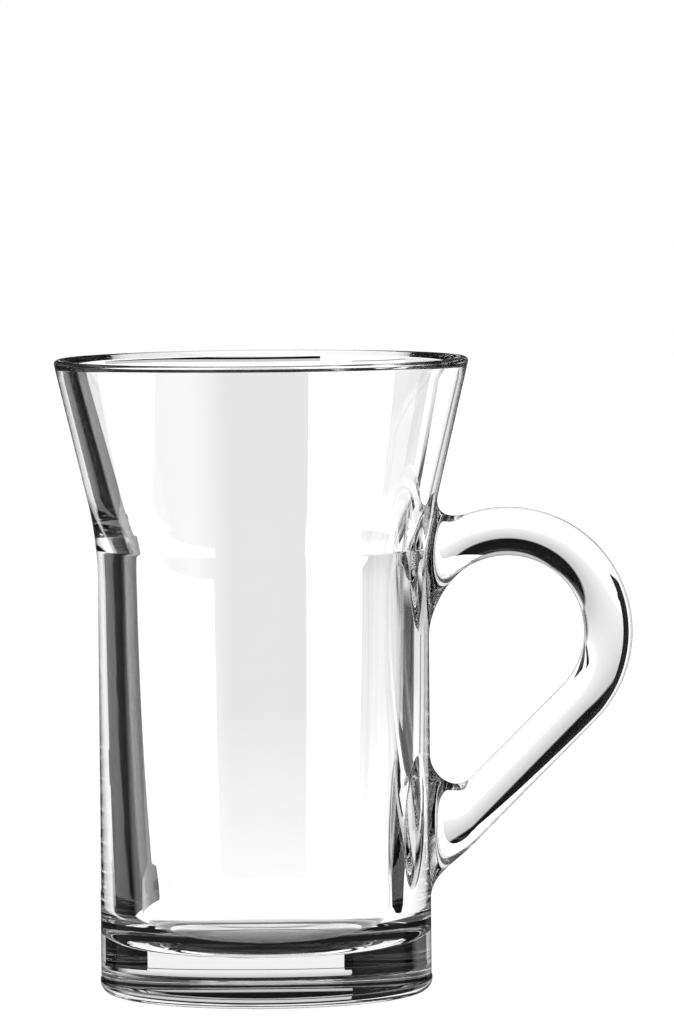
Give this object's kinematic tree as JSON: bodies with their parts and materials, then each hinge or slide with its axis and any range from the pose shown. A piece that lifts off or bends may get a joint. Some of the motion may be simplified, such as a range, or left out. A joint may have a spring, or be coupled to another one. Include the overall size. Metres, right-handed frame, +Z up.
{
  "type": "glass mug",
  "caption": "Heavy clear glass mug with a flared rim, a straight thick-walled body and a bent round rod handle fused to the wall.",
  "frame": {"origin": "on the bowl's axis, in the plane of the ring that the mug stands on", "axes": "+Z up along the bowl's axis, +X towards the handle"},
  "size_m": [0.1114, 0.08, 0.1227],
  "materials": {
    "clear_glass": "clear fire-polished soda-lime glass"
  },
  "bodies": {
    "root": {"bowl": "clear_glass", "upper_boss": "clear_glass", "lower_boss": "clear_glass", "handle": "clear_glass"}
  },
  "joints": []
}
